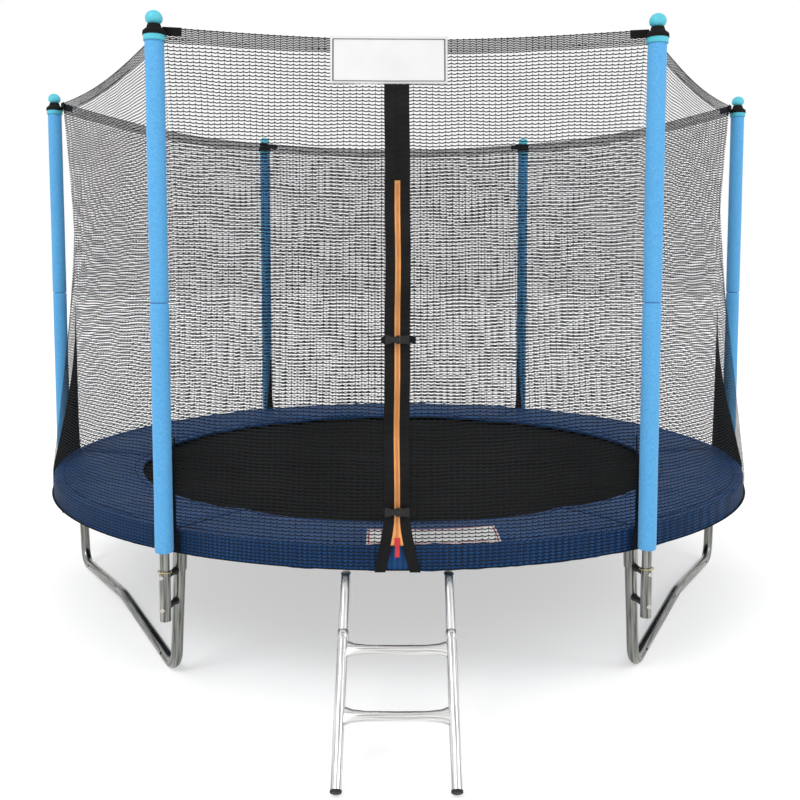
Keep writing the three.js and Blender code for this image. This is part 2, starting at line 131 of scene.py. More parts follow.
class Paint:
    """A Principled material with short ways to add procedural detail."""

    def __init__(self, name, colour, roughness, metallic=0.0, sheen=0.0, gloss=0.5):
        self.material = bpy.data.materials.new(name)
        self.material.use_nodes = True
        self.tree = self.material.node_tree
        self.shader = self.tree.nodes["Principled BSDF"]
        self.shader.inputs["Base Color"].default_value = (*colour, 1)
        self.shader.inputs["Roughness"].default_value = roughness
        self.shader.inputs["Metallic"].default_value = metallic
        self.shader.inputs["Specular IOR Level"].default_value = gloss
        if sheen:
            self.shader.inputs["Sheen Weight"].default_value = sheen
            self.shader.inputs["Sheen Roughness"].default_value = 0.5
        self.bump_out = None

    def node(self, kind, **inputs):
        made = self.tree.nodes.new(kind)
        for key, value in inputs.items():
            made.inputs[key].default_value = value
        return made

    def link(self, source, target):
        self.tree.links.new(source, target)

    def coordinates(self, scale=(1, 1, 1), turn=(0, 0, 0), uv=False):
        source = self.node("ShaderNodeTexCoord")
        mapping = self.node("ShaderNodeMapping")
        mapping.inputs["Scale"].default_value = scale
        mapping.inputs["Rotation"].default_value = turn
        self.link(source.outputs["UV" if uv else "Object"], mapping.inputs["Vector"])
        return mapping.outputs["Vector"]

    def noise(self, scale, detail=3.0, coords=None):
        made = self.node("ShaderNodeTexNoise", Scale=scale, Detail=detail)
        self.link(coords or self.coordinates(), made.inputs["Vector"])
        return made.outputs["Fac"]

    def wave(self, scale, distortion=0.0, coords=None, direction="X"):
        made = self.node("ShaderNodeTexWave", Scale=scale, Distortion=distortion)
        made.bands_direction = direction
        self.link(coords or self.coordinates(), made.inputs["Vector"])
        return made.outputs["Fac"]

    def mixed(self, a, b, how="MULTIPLY"):
        made = self.node("ShaderNodeMath")
        made.operation = how
        self.link(a, made.inputs[0])
        self.link(b, made.inputs[1])
        return made.outputs[0]

    def shade(self, factor, dark, light, low=0.3, high=0.7):
        """Colours the surface between two tones by a pattern."""
        ramp = self.node("ShaderNodeValToRGB")
        ramp.color_ramp.elements[0].position = low
        ramp.color_ramp.elements[0].color = (*dark, 1)
        ramp.color_ramp.elements[1].position = high
        ramp.color_ramp.elements[1].color = (*light, 1)
        self.link(factor, ramp.inputs["Fac"])
        self.link(ramp.outputs["Color"], self.shader.inputs["Base Color"])

    def roughen(self, factor, low, high):
        spread = self.node("ShaderNodeMapRange")
        spread.inputs["To Min"].default_value = low
        spread.inputs["To Max"].default_value = high
        self.link(factor, spread.inputs["Value"])
        self.link(spread.outputs["Result"], self.shader.inputs["Roughness"])

    def bump(self, factor, strength, distance):
        made = self.node("ShaderNodeBump", Strength=strength, Distance=distance)
        self.link(factor, made.inputs["Height"])
        if self.bump_out is not None:
            self.link(self.bump_out, made.inputs["Normal"])
        self.bump_out = made.outputs["Normal"]
        self.link(self.bump_out, self.shader.inputs["Normal"])


def tone(colour, factor):
    return tuple(min(1.0, c * factor) for c in colour)


def steel_paint(name, colour, roughness, dark=0.55, light=1.2):
    """Drawn galvanised tube: streaks along its length, a little spangle and uneven gloss; the streaks' dark
    and light colour tones are partly drawn marks and partly painted reflections and highlights.
    """
    paint = Paint(name, colour, roughness, metallic=1.0)
    streaks_and_painted_reflections = paint.noise(1.0, 4.0, paint.coordinates((9, 3.5, 1), uv=True))
    spangle = paint.noise(160, 2.0)
    # the streak colour runs between a dark and a light tone: partly the metal's own drawn marks, partly
    # painted dark reflections and bright highlights
    paint.shade(streaks_and_painted_reflections, tone(colour, dark), tone(colour, light), 0.32, 0.66)
    paint.roughen(streaks_and_painted_reflections, roughness * 0.8, roughness * 1.35)
    paint.bump(spangle, 0.10, 0.0004)
    paint.bump(streaks_and_painted_reflections, 0.12, 0.0006)
    return paint.material


def foam_paint():
    paint = Paint("blue_foam", (0.085, 0.335, 0.63), 0.75, sheen=0.1, gloss=0.25)
    pores = paint.noise(260, 3.0)
    dents = paint.noise(14, 3.0, paint.coordinates((1, 1, 0.25)))
    paint.shade(pores, (0.062, 0.285, 0.57), (0.112, 0.385, 0.69), 0.25, 0.75)
    paint.roughen(dents, 0.62, 0.85)
    paint.bump(pores, 0.3, 0.0006)
    paint.bump(dents, 0.35, 0.004)
    return paint.material


def cap_paint():
    paint = Paint("cap_plastic", (0.075, 0.46, 0.57), 0.42, gloss=0.35)
    grain = paint.noise(600, 2.0)
    drift = paint.noise(30, 2.0)
    paint.shade(drift, (0.065, 0.42, 0.53), (0.10, 0.51, 0.62))
    paint.roughen(drift, 0.34, 0.5)
    paint.bump(grain, 0.08, 0.0003)
    return paint.material


def weave_height(paint, pitch, turn=0.0):
    """Crossed threads at a given pitch."""
    scale = 1 / (pitch * 20) * math.tau
    coords = paint.coordinates(turn=(0, 0, turn))
    warp = paint.wave(scale, coords=coords)
    weft = paint.wave(scale, coords=coords, direction="Y")
    return paint.mixed(warp, weft, "ADD")


def pad_paint():
    """Coated cloth: a fine diagonal weave that catches the light, with broad soft wrinkles."""
    paint = Paint("navy_cover", (0.014, 0.068, 0.215), 0.6, gloss=0.12)
    weave = weave_height(paint, 0.0034, 0.6)
    twill = paint.wave(26, 1.2, paint.coordinates(turn=(0, 0, 0.55)))
    drift = paint.mixed(paint.noise(5, 4.0), twill)
    paint.shade(drift, (0.006, 0.038, 0.120), (0.016, 0.086, 0.250), 0.05, 0.65)
    paint.roughen(paint.noise(7, 3.0), 0.42, 0.65)
    paint.bump(weave, 0.25, 0.0006)
    paint.bump(paint.noise(22, 3.0), 0.4, 0.006)
    return paint.material


def mat_paint():
    """A close black weave with a few faint creases across it."""
    paint = Paint("mat_cloth", (0.008, 0.008, 0.007), 0.85, gloss=0.04)
    weave = weave_height(paint, 0.0045)
    drift = paint.noise(2.2, 4.0, paint.coordinates((1, 3, 1)))
    paint.shade(drift, (0.0045, 0.0045, 0.004), (0.010, 0.010, 0.009))
    paint.roughen(weave, 0.75, 0.95)
    paint.bump(weave, 0.3, 0.0008)
    paint.bump(paint.noise(3.0, 4.0, paint.coordinates((1, 3.5, 1))), 0.6, 0.012)
    return paint.material


def yarn_paint():
    paint = Paint("black_net", (0.012, 0.012, 0.013), 0.9, gloss=0.06)
    fuzz = paint.noise(500, 2.0)
    paint.shade(paint.noise(3, 2.0), (0.008, 0.009, 0.011), (0.017, 0.018, 0.021))
    paint.roughen(fuzz, 0.8, 1.0)
    paint.bump(fuzz, 0.2, 0.0005)
    return paint.material


def webbing_paint(name, colour, pitch=0.0022):
    paint = Paint(name, colour, 0.85, gloss=0.12)
    ribs = weave_height(paint, pitch)
    paint.shade(paint.noise(12, 3.0), tone(colour, 0.75), tone(colour, 1.35))
    paint.roughen(ribs, 0.7, 0.95)
    paint.bump(ribs, 0.3, 0.0005)
    return paint.material


def plastic_paint(name, colour, roughness=0.4):
    paint = Paint(name, colour, roughness, gloss=0.3)
    grain = paint.noise(700, 2.0)
    drift = paint.noise(40, 2.0)
    paint.shade(drift, tone(colour, 0.85), tone(colour, 1.2))
    paint.roughen(drift, roughness * 0.8, roughness * 1.3)
    paint.bump(grain, 0.1, 0.0002)
    return paint.material


def cloth_label_paint(name, colour):
    paint = Paint(name, colour, 0.65, sheen=0.1)
    weave = weave_height(paint, 0.0016)
    paint.shade(paint.noise(9, 3.0), tone(colour, 0.93), tone(colour, 1.03))
    paint.roughen(weave, 0.55, 0.75)
    paint.bump(weave, 0.12, 0.0003)
    return paint.material


# ---- mesh helpers

def add_piece(name, verts, faces, material, replaces=(), body="frame", uvs=None, smooth=True):
    mesh = bpy.data.meshes.new(name)
    mesh.from_pydata([tuple(v) for v in verts], [], [tuple(f) for f in faces])
    mesh.validate()
    if uvs is not None:
        layer = mesh.uv_layers.new(name="tube")
        flat = [uvs[loop.vertex_index] for loop in mesh.loops]
        layer.data.foreach_set("uv", [c for uv in flat for c in uv])
    mesh.materials.append(material)
    if smooth:
        mesh.shade_smooth()
        mesh.set_sharp_from_angle(angle=math.radians(50))
    piece = add_object(name, mesh)
    if body:
        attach(piece, body)
    if replaces:
        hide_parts(*replaces)
    return piece


class Build:
    """Collects several closed shapes into one piece's mesh."""

    def __init__(self):
        self.verts = []
        self.faces = []
        self.uvs = []

    def take(self, verts, faces, uvs=None):
        base = len(self.verts)
        self.verts += [Vector(v) for v in verts]
        self.faces += [[base + i for i in face] for face in faces]
        self.uvs += uvs or [(v[0] * 3 + v[1], v[2] * 3) for v in verts]

    def moved(self, matrix):
        self.verts = [matrix @ v for v in self.verts]
        return self

    def piece(self, name, material, slot, replaces=(), body="frame", smooth=True):
        return add_piece(name, self.verts, self.faces, material, replaces, body, self.uvs, smooth)


def tube_faces(rings, sides):
    """The faces of a tube made of rings of points, with a flat face over each end."""
    faces = []
    for i in range(rings - 1):
        for k in range(sides):
            a, b = i * sides + k, i * sides + (k + 1) % sides
            faces.append((a, b, b + sides, a + sides))
    faces.append(tuple(range(sides))[::-1])
    faces.append(tuple(range((rings - 1) * sides, rings * sides)))
    return faces


def cross_axes(points):
    """Two cross axes at each point of a path, turned as little as possible."""
    count = len(points)
    tangents = []
    for i in range(count):
        before, after = points[max(0, i - 1)], points[min(count - 1, i + 1)]
        tangents.append((after - before).normalized())
    helper = Vector((0, 0, 1)) if abs(tangents[0].z) < 0.9 else Vector((0, 1, 0))
    side = tangents[0].cross(helper).normalized()
    frames = []
    for tangent in tangents:
        side = (side - tangent * side.dot(tangent)).normalized()
        frames.append((side, tangent.cross(side)))
    return frames


def sweep(build, points, radius, sides=24, flat=1.0):
    """A round bar along a path; radius may be one number or one per point. Flat squeezes its second axis."""
    points = [Vector(p) for p in points]
    radii = radius if isinstance(radius, (list, tuple)) else [radius] * len(points)
    verts, uvs, length = [], [], 0.0
    for i, ((side, up), centre) in enumerate(zip(cross_axes(points), points)):
        if i:
            length += (centre - points[i - 1]).length
        for k in range(sides):
            a = math.tau * k / sides
            verts.append(centre + side * math.cos(a) * radii[i] + up * math.sin(a) * radii[i] * flat)
            uvs.append((abs(2 * k / sides - 1), length * 2))
    build.take(verts, tube_faces(len(points), sides), uvs)


def stud(build, place, out, steps, sides=16):
    """A turned peg standing out from a place; steps are (distance, radius) pairs."""
    sweep(build, [place + out * far for far, _ in steps], [radius for _, radius in steps], sides)


def lathe(build, profile, centre=(0, 0, 0), sides=40):
    """A solid turned round a vertical axis from a (radius, height) profile, with flat or pointed ends."""
    verts, faces, uvs, rings = [], [], [], []
    for r, z in profile:
        if r < 1e-6:
            rings.append([len(verts)])
            verts.append(Vector((centre[0], centre[1], centre[2] + z)))
            uvs.append((0.5, z * 2))
            continue
        rings.append(list(range(len(verts), len(verts) + sides)))
        for k in range(sides):
            a = math.tau * k / sides
            verts.append(Vector((centre[0] + r * math.cos(a), centre[1] + r * math.sin(a), centre[2] + z)))
            uvs.append((abs(2 * k / sides - 1), z * 2))
    for lower, upper in zip(rings, rings[1:]):
        for k in range(sides):
            face = [lower[k % len(lower)], lower[(k + 1) % len(lower)]]
            face += [upper[(k + 1) % len(upper)], upper[k % len(upper)]]
            faces.append(list(dict.fromkeys(face)))
    if len(rings[0]) > 1:
        faces.append(rings[0][::-1])
    if len(rings[-1]) > 1:
        faces.append(rings[-1])
    build.take(verts, faces, uvs)


def rounded_block(build, low, high, bevel=0.001):
    """A box with bevelled edges."""
    low, high = Vector(low), Vector(high)
    shape = bmesh.new()
    bmesh.ops.create_cube(shape, size=1)
    for vert in shape.verts:
        vert.co = (low + high) / 2 + vert.co * (high - low)
    bevel = min(bevel, min(high - low) * 0.45)
    bmesh.ops.bevel(shape, geom=shape.edges[:], offset=bevel, segments=1, affect="EDGES")
    shape.verts.index_update()
    build.take([vert.co for vert in shape.verts], [[v.index for v in face.verts] for face in shape.faces])
    shape.free()


def rounded_corner(before, corner, after, radius, steps):
    """Points round a bend of a given radius between two straight parts."""
    back, ahead = (before - corner).normalized(), (after - corner).normalized()
    half = back.angle(ahead) / 2
    reach = radius / math.tan(half)
    middle = corner + (back + ahead).normalized() * (radius / math.sin(half))
    start, end = corner + back * reach - middle, corner + ahead * reach - middle
    axis = start.cross(end).normalized()
    turn = start.angle(end)
    return [middle + Matrix.Rotation(turn * i / steps, 3, axis) @ start for i in range(steps + 1)]


def around(angle):
    """The turn that takes a shape made at the +X pole to another angle round the mat."""
    return Matrix.Translation((0, CENTRE_Y, 0)) @ Matrix.Rotation(angle, 4, "Z")


def at_front():
    return around(FRONT_TURN)


def arc(radius, z, start, end, steps):
    angles = np.linspace(start, end, steps + 1)
    return [Vector((radius * math.cos(a), radius * math.sin(a), z)) for a in angles]


def thicken(piece, thickness):
    solid = piece.modifiers.new("thickness", "SOLIDIFY")
    solid.thickness = thickness
    solid.offset = 0


def sheet_mesh(name, point, across, up, material, slot, thickness, replaces=()):
    """A thin closed cloth: point(u, v) gives its middle surface, u and v running from 0 to 1."""
    verts = [Vector(point(i / across, j / up)) for j in range(up + 1) for i in range(across + 1)]
    faces = []
    for j in range(up):
        for i in range(across):
            a = j * (across + 1) + i
            faces.append((a, a + 1, a + across + 2, a + across + 1))
    piece = add_piece(name, verts, faces, material, replaces)
    thicken(piece, thickness)
    return piece


# ---- frame, legs and poles

def upright(side, z):
    """A point at height z on the leg upright beside the pole at +X."""
    shift = (RAIL_Z - z) * LEG_SLANT
    return Vector((RAIL_R - shift * math.sin(SECTOR / 2), side * shift * math.cos(SECTOR / 2), z))


def pole_side(index):
    return 1 if index % 2 else -1


def make_rails(steel):
    for i in range(POLES):
        build, side = Build(), pole_side(i)
        sweep(build, arc(RAIL_R, RAIL_Z, RAIL_LEAD - SECTOR + 0.0003, RAIL_LEAD, 48), RAIL_TUBE)
        top, bottom = upright(side, RAIL_Z - 0.010), upright(side, SOCKET_BOTTOM)
        lip = bottom + (top - bottom).normalized() * 0.002
        sweep(build, [top, lip, bottom], [SOCKET_TUBE, SOCKET_TUBE, SOCKET_TUBE - 0.0012])
        weld = [upright(side, RAIL_Z - 0.0145), upright(side, RAIL_Z - 0.0225)]
        sweep(build, weld, [SOCKET_TUBE + 0.0012, SOCKET_TUBE + 0.0003])
        build.moved(around(i * SECTOR))
        build.piece(f"top_rail_{i + 1}", steel, "galvanised_steel", [f"rail_{i + 1}"])


def leg_points(side):
    """One leg half from its socket to the low middle bend, with the foot's bend resting on the ground."""
    x = RAIL_R * math.cos(SECTOR / 2)
    top_z = SOCKET_BOTTOM + 0.05
    top = Vector((x, side * (RAIL_R * math.sin(SECTOR / 2) - (RAIL_Z - top_z) * LEG_SLANT), top_z))
    z = 0.0
    for _ in range(3):
        foot = Vector((x, side * LEG_REACH, z))
        apex = Vector((x, 0, z + LEG_RISE))
        bend = rounded_corner(top, foot, apex, LEG_BEND, 16)
        z += LEG_TUBE - min(p.z for p in bend)
    return top, foot, apex, bend


def make_legs(steel, plastic):
    for name, middle in (("back", 1.5), ("left", 3.5), ("right", 5.5)):
        for side, letter in ((1, "a"), (-1, "b")):
            build = Build()
            top, foot, apex, bend = leg_points(side)
            far = Vector((foot.x, -foot.y, foot.z))
            points = [top, *bend]
            straight = (apex - bend[-1]) / 6
            points += [bend[-1] + straight * k for k in range(1, 5)]
            if side > 0:
                points += rounded_corner(foot, apex, far, 0.26, 8)
                points.append(apex + (far - apex).normalized() * 0.06)
            else:
                points.append(apex + (foot - apex).normalized() * 0.0603)
            sweep(build, points, LEG_TUBE, 28)
            build.moved(around(middle * SECTOR))
            build.piece(f"leg_tube_{name}_{letter}", steel, "galvanised_steel", [f"leg_{name}_{letter}"])
            button = Build()
            spot = bend[-1] + straight * 0.5
            out = Vector((1, 0, 0.35)).normalized()
            stud(button, spot, out, [(0.0145, 0.0042), (0.0168, 0.0040), (0.0178, 0.0024)])
            button.moved(around(middle * SECTOR))
            button.piece(f"leg_button_{name}_{letter}", plastic, "black_plastic")


def make_pole_base(index, steel, bolt_steel, plastic, brass):
    """A sleeve bolted to the leg through two spacers, with a ring clip and a snap button."""
    turn = around(index * SECTOR)
    sleeve = Build()
    profile = [(0.0129, BASE_BOTTOM), (BASE_R, BASE_BOTTOM), (BASE_R, BASE_TOP - 0.001),
               (BASE_R - 0.0006, BASE_TOP), (0.0129, BASE_TOP)]
    lathe(sleeve, profile, (POLE_R, 0, 0))
    sleeve.moved(turn)
    sleeve.piece(f"pole_sleeve_{index + 1}", steel, "galvanised_steel", [f"pole_base_{index + 1}"])
    bolts, spacers = Build(), Build()
    for z, clear in ((0.306, SOCKET_TUBE + 0.0006), (0.220, LEG_TUBE + 0.0006)):
        centre = Vector((POLE_R, 0, z))
        leg = upright(pole_side(index), z)
        along = (leg - centre).normalized()
        end = leg - along * clear
        start = centre + along * BASE_R * 0.97
        path = [start.lerp(end, share) for share in (0, 0.12, 0.5, 0.88, 1)]
        sweep(spacers, path, [0.0105, 0.0085, 0.0078, 0.0085, 0.0108], 20)
        head = centre - along * BASE_R * 0.98
        stud(bolts, head, -along, [(0, 0.0062), (0.0035, 0.0060), (0.0050, 0.0040)], 18)
    bolts.moved(turn).piece(f"bolts_{index + 1}", bolt_steel, "galvanised_steel")
    spacers.moved(turn).piece(f"spacers_{index + 1}", plastic, "black_plastic")
    clip = Build()
    loop = []
    for a in np.linspace(0.3, math.tau + 0.1, 41):
        x, y = math.cos(a), math.sin(a)
        loop.append((POLE_R + 0.0185 * x, 0.0172 * y, BASE_TOP + 0.0016 + 0.002 * x))
    sweep(clip, loop, 0.0014, 10)
    pin = [(POLE_R + 0.0185, 0.001, BASE_TOP + 0.003), (POLE_R + 0.0140, 0, BASE_TOP - 0.006),
           (POLE_R + 0.0130, 0, BASE_TOP - 0.010)]
    sweep(clip, pin, 0.0013, 10)
    aim = 0.15 * pole_side(index)
    out = Vector((math.cos(aim), math.sin(aim), 0))
    button = Vector((POLE_R, 0, 0.217)) + out * (BASE_R - 0.0006)
    stud(clip, button, out, [(0, 0.0042), (0.0030, 0.0040), (0.0044, 0.0022)])
    clip.moved(turn).piece(f"pole_clip_{index + 1}", brass, "galvanised_steel")


def make_pole(index, steel):
    build = Build()
    profile = [(0.0113, 0.200), (POLE_TUBE, 0.200), (POLE_TUBE, 1.6945), (0.0113, 1.6945)]
    lathe(build, profile, (POLE_R, 0, 0), 32)
    build.moved(around(index * SECTOR))
    build.piece(f"pole_tube_{index + 1}", steel, "galvanised_steel", [f"pole_{index + 1}"])


def foam_profile(low, high):
    """A soft tube's wall from its bottom to its top, with rounded lips."""
    steps, r = 14, FOAM_R - 0.0006
    wall = [(0.0132, low), (r - 0.004, low), (r - 0.0012, low + 0.0012), (r, low + 0.005)]
    for k in range(1, steps):
        wall.append((r, low + (high - low) * k / steps))
    wall += [(r, high - 0.005), (r - 0.0012, high - 0.0012), (r - 0.004, high), (0.0132, high)]
    return wall


def make_foam(index, foam):
    """Two lengths of soft tube over a pole, slightly dented."""
    gap = 0.0003
    for name, low, high in (("lower", FOAM_BOTTOM, FOAM_JOINT - gap), ("upper", FOAM_JOINT + gap, FOAM_TOP)):
        build = Build()
        lathe(build, foam_profile(low, high), (POLE_R, 0, 0), 48)
        seed = Vector((index * 7.3, 0 if name == "lower" else 31.0, 0))
        for v in build.verts:
            out = Vector((v.x - POLE_R, v.y, 0))
            if out.length < 0.02:
                continue
            dent = noise.noise(Vector((out.x * 40, out.y * 40, v.z * 6)) + seed)
            v -= out.normalized() * (0.0006 + 0.0006 * dent)
        build.moved(around(index * SECTOR))
        made = build.piece(f"foam_{name}_{index + 1}", foam, "blue_foam", [f"foam_{index + 1}"])


def make_cap(index, plastic):
    """A cap over the foam's end, with a narrow neck and a ball."""
    wall = FOAM_R + 0.0003
    profile = [(0, 0), (wall, 0), (wall, -0.0220), (0.0266, -0.0220), (0.0273, -0.0213), (0.0274, -0.0024),
               (0.0269, -0.0006), (0.0256, 0.0008), (0.0180, 0.0020), (0.0120, 0.0034), (0.0108, 0.0060),
               (0.0105, 0.0120), (0.0107, 0.0180), (0.0118, 0.0203), (0.0150, 0.0215), (0.0182, 0.0236),
               (0.0205, 0.0268), (0.0216, 0.0305), (0.0218, 0.0340), (0.0212, 0.0380), (0.0194, 0.0424),
               (0.0166, 0.0464), (0.0128, 0.0497), (0.0078, 0.0521), (0, 0.0530)]
    build = Build()
    lathe(build, profile, (POLE_R, 0, FOAM_TOP + 0.0003), 48)
    build.moved(around(index * SECTOR))
    build.piece(f"cap_ball_{index + 1}", plastic, "cap_plastic", [f"cap_{index + 1}"])


# ---- mat and springs

def make_mat(cloth, webbing):
    """A taut disc with a scalloped edge, and two rows of stitching."""
    rings, steps = 40, 144
    verts = [Vector((0, CENTRE_Y, RAIL_Z))]
    for j in range(1, rings + 1):
        r = MAT_R * j / rings
        fade = math.sin(math.pi * j / rings) ** 0.5 if j < rings else 0
        for k in range(steps):
            a = math.tau * k / steps
            x, y = math.cos(a), math.sin(a)
            lift = 0.0035 * noise.noise(Vector((r * x * 2.2, r * y * 2.2, 3.0))) * fade
            scallop = 0.0025 * math.cos(SPRINGS * a) if j == rings else 0
            out = r + scallop - 0.0025
            verts.append(Vector((out * x, CENTRE_Y + out * y, RAIL_Z + lift)))
    faces = [(0, 1 + k, 1 + (k + 1) % steps) for k in range(steps)]
    for j in range(rings - 1):
        for k in range(steps):
            a, b = 1 + j * steps + k, 1 + j * steps + (k + 1) % steps
            faces.append((a, a + steps, b + steps, b))
    mat = add_piece("mat_bed", verts, faces, cloth, ["jump_mat"], "mat")
    thicken(mat, 0.0016)
    border = Build()
    for radius in (0.992, 1.018):
        loop = [p + Vector((0, 0, 0.0011)) for p in arc(radius, RAIL_Z, 0, math.tau * 0.9999, 180)]
        sweep(border, loop, 0.0011, 6)
    border.moved(around(0)).piece("mat_stitching", webbing, "mat_cloth", body="mat")


def make_springs(steel):
    """Coils with a hook at each end, stretched between the top rail and the mat."""
    turns, per_turn, coil, wire = 24, 10, 0.0072, 0.0017
    steps = turns * per_turn
    reach = SPRING_OUT - SPRING_IN - 0.034
    hook_out = [(SPRING_OUT + 0.001, 0, 0.0075), (SPRING_OUT - 0.004, 0, 0.0082),
                (SPRING_OUT - 0.011, 0, 0.006), (SPRING_OUT - 0.016, 0, 0.0072)]
    helix = []
    for k in range(steps + 1):
        a = math.tau * k / per_turn
        helix.append((SPRING_OUT - 0.018 - reach * k / steps, coil * math.sin(a), coil * math.cos(a)))
    hook_in = [(SPRING_IN + 0.014, 0, 0.0072), (SPRING_IN + 0.009, 0, 0.004),
               (SPRING_IN + 0.003, 0, 0), (SPRING_IN - 0.001, 0, -0.002)]
    for i in range(SPRINGS):
        build = Build()
        turn = around((i + 0.5) * math.tau / SPRINGS)
        sweep(build, hook_out + helix + hook_in, wire, 6)
        build.moved(turn @ Matrix.Translation((0, 0, RAIL_Z)))
        third = i * 3 // SPRINGS + 1
        spring = build.piece(f"spring_{i + 1}", steel, "spring_steel", [f"spring_set_{third}"], None)
        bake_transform(spring)


def make_spring_rings(steel):
    """A wire triangle at the mat's edge for each spring's hook."""
    build = Build()
    corners = ((1.0375, 0), (1.0235, 0.0115), (1.0235, -0.0115), (1.0370, -0.0005))
    loop = [(x, y, RAIL_Z) for x, y in corners]
    for i in range(SPRINGS):
        part = Build()
        sweep(part, loop, 0.0014, 6)
        part.moved(around((i + 0.5) * math.tau / SPRINGS))
        build.take(part.verts, part.faces)
    build.piece("mat_rings", steel, "spring_steel", body="mat")


# ---- pad

def pad_section(angle):
    """The closed outline of the pad at an angle, as (radius, height), with its bulge and its wrinkles."""
    def wobble(x, y, size):
        return size * noise.noise(Vector((x, y, 8.0)))

    lap = (angle % SECTOR) / SECTOR
    seam = min(lap, 1 - lap) * SECTOR * 1.08
    pinch = math.exp(-(seam / 0.022) ** 2)
    arc_x, arc_y = math.cos(angle) * 4, math.sin(angle) * 4
    hem = wobble(arc_x * 3.1, arc_y * 3.1, 0.004) + wobble(arc_x * 9, arc_y * 9, 0.0022)
    out = PAD_OUT - 0.0006 - 0.0012 * pinch
    low = PAD_LOW + 0.003 + hem
    inner = PAD_IN + 0.006 * math.sin(math.pi * lap) - 0.020 * math.exp(-(seam / 0.06) ** 2) + 0.004
    top = []
    for k in range(PAD_SPAN + 1):
        t = k / PAD_SPAN
        r = inner + (out - 0.006 - inner) * t
        crown = math.sin(math.pi * min(1.0, t * 0.94 + 0.03)) ** 0.6
        base = PAD_EDGE + (PAD_TOP - 0.004 - PAD_EDGE) * t ** 0.8
        swell = crown * (0.007 + wobble(arc_x * 1.7 + r, arc_y * 1.7, 0.004))
        crease = wobble(arc_x * 7 + r * 3, arc_y * 7 - r * 3, 0.0022) * (0.3 + t)
        crease += wobble(arc_x * 13 + r * 30, arc_y * 13 - r * 12, 0.0065) * t ** 4
        top.append((r, min(base + swell + crease - 0.007 * pinch * crown, 0.4315)))
    skirt = [(out - 0.0018, PAD_TOP - 0.0035), (out, PAD_TOP - 0.010)]
    for k in range(1, 5):
        z = PAD_TOP - 0.010 + (low - PAD_TOP + 0.010) * k / 4
        skirt.append((out + wobble(arc_x * 6, arc_y * 6 + z * 20, 0.0009) - 0.0012 + 0.0004 * k, z))
    under = [(out - 0.0016, low), (out - 0.0018, 0.4085), (1.175, 0.4085), (1.163, 0.3985),
             (1.030, 0.3975), (inner + 0.004, 0.3925), (inner, 0.3950)]
    return top + skirt + under


def on_pad(angle, r, z, lift=0.0):
    return Vector((r * math.cos(angle), r * math.sin(angle), z + lift))


def make_pad_segment(index, cover):
    steps = 84
    start, end = index * SECTOR + 0.0004, (index + 1) * SECTOR - 0.0004
    verts = []
    for j in range(steps + 1):
        angle = start + (end - start) * j / steps
        outline = pad_section(angle)
        verts += [on_pad(angle, r, z) + Vector((0, CENTRE_Y, 0)) for r, z in outline]
    faces = tube_faces(steps + 1, len(outline))
    pad = add_piece(f"pad_cover_{index + 1}", verts, faces, cover, [f"pad_{index + 1}"])


def make_pad_trim(thread):
    """Piping along the pad's seams and stitching along its inner and outer edges."""
    build = Build()
    for i in range(POLES):
        top = pad_section(i * SECTOR + 0.0005)[:PAD_SPAN + 1]
        sweep(build, [on_pad(i * SECTOR, r, z, 0.0006) for r, z in top], 0.0016, 8)
    for pick, lift in ((2, 0.0007), (PAD_SPAN - 2, 0.0006)):
        turns = [math.tau * k / 361 for k in range(361)]
        sweep(build, [on_pad(a, *pad_section(a)[pick], lift) for a in turns], 0.0010, 6)
    build.moved(around(0)).piece("pad_stitching", thread, "navy_cover")


# ---- net

def net_surface(angle0, s, rise):
    """The net's middle surface over one sector: s runs from pole to pole, rise from 0 at the rim to 1."""
    angle = angle0 + s * SECTOR
    foot_x, foot_y = NET_R * np.cos(angle), NET_R * np.sin(angle)
    ax, ay = NET_CORNER * math.cos(angle0), NET_CORNER * math.sin(angle0)
    bx, by = NET_CORNER * math.cos(angle0 + SECTOR), NET_CORNER * math.sin(angle0 + SECTOR)
    top_x, top_y = ax + (bx - ax) * s, ay + (by - ay) * s
    up = np.clip(rise, 0, 1)
    x, y = foot_x + (top_x - foot_x) * up, foot_y + (top_y - foot_y) * up
    slack = 0.006 * np.sin(np.pi * s) * np.sin(np.pi * up) * np.sin(s * 31 + up * 5 + angle0 * 3)
    slack = slack * (1 - np.exp(-((s - 0.5) / 0.12) ** 2))
    slack += NET_WAIST * np.sin(np.pi * up) * np.cos(np.pi * s) ** 2
    length = np.hypot(x, y)
    return x * (1 - slack / length), y * (1 - slack / length)


def net_height(s, rise):
    """The height at a rise; below the rim, rise is in metres and negative."""
    top = NET_TOP - NET_SAG * np.sin(np.pi * s)
    return np.where(rise >= 0, NET_RIM + (top - NET_RIM) * rise, NET_RIM + rise)


def net_line(angle0, s, rise, middle=0.0):
    """Points along the net at one rise, about the origin or a middle on the Y axis."""
    rise = np.full_like(s, rise)
    x, y = net_surface(angle0, s, rise)
    return np.stack([x, y + middle, net_height(s, rise)], axis=-1)


def knit_line(angle0, s, rise):
    """Points of the knit at one rise: the net's surface, with its rows pulled gently out of line."""
    points = net_line(angle0, s, rise, CENTRE_Y)
    fade = np.sqrt(np.sin(np.pi * np.clip(rise, 0, 1)))
    pull = np.sin(s * 41 + angle0 * 3 + rise * 17) * np.sin(rise * 37 - s * 13 + angle0)
    points[..., 2] += 0.0030 * pull * fade
    return points


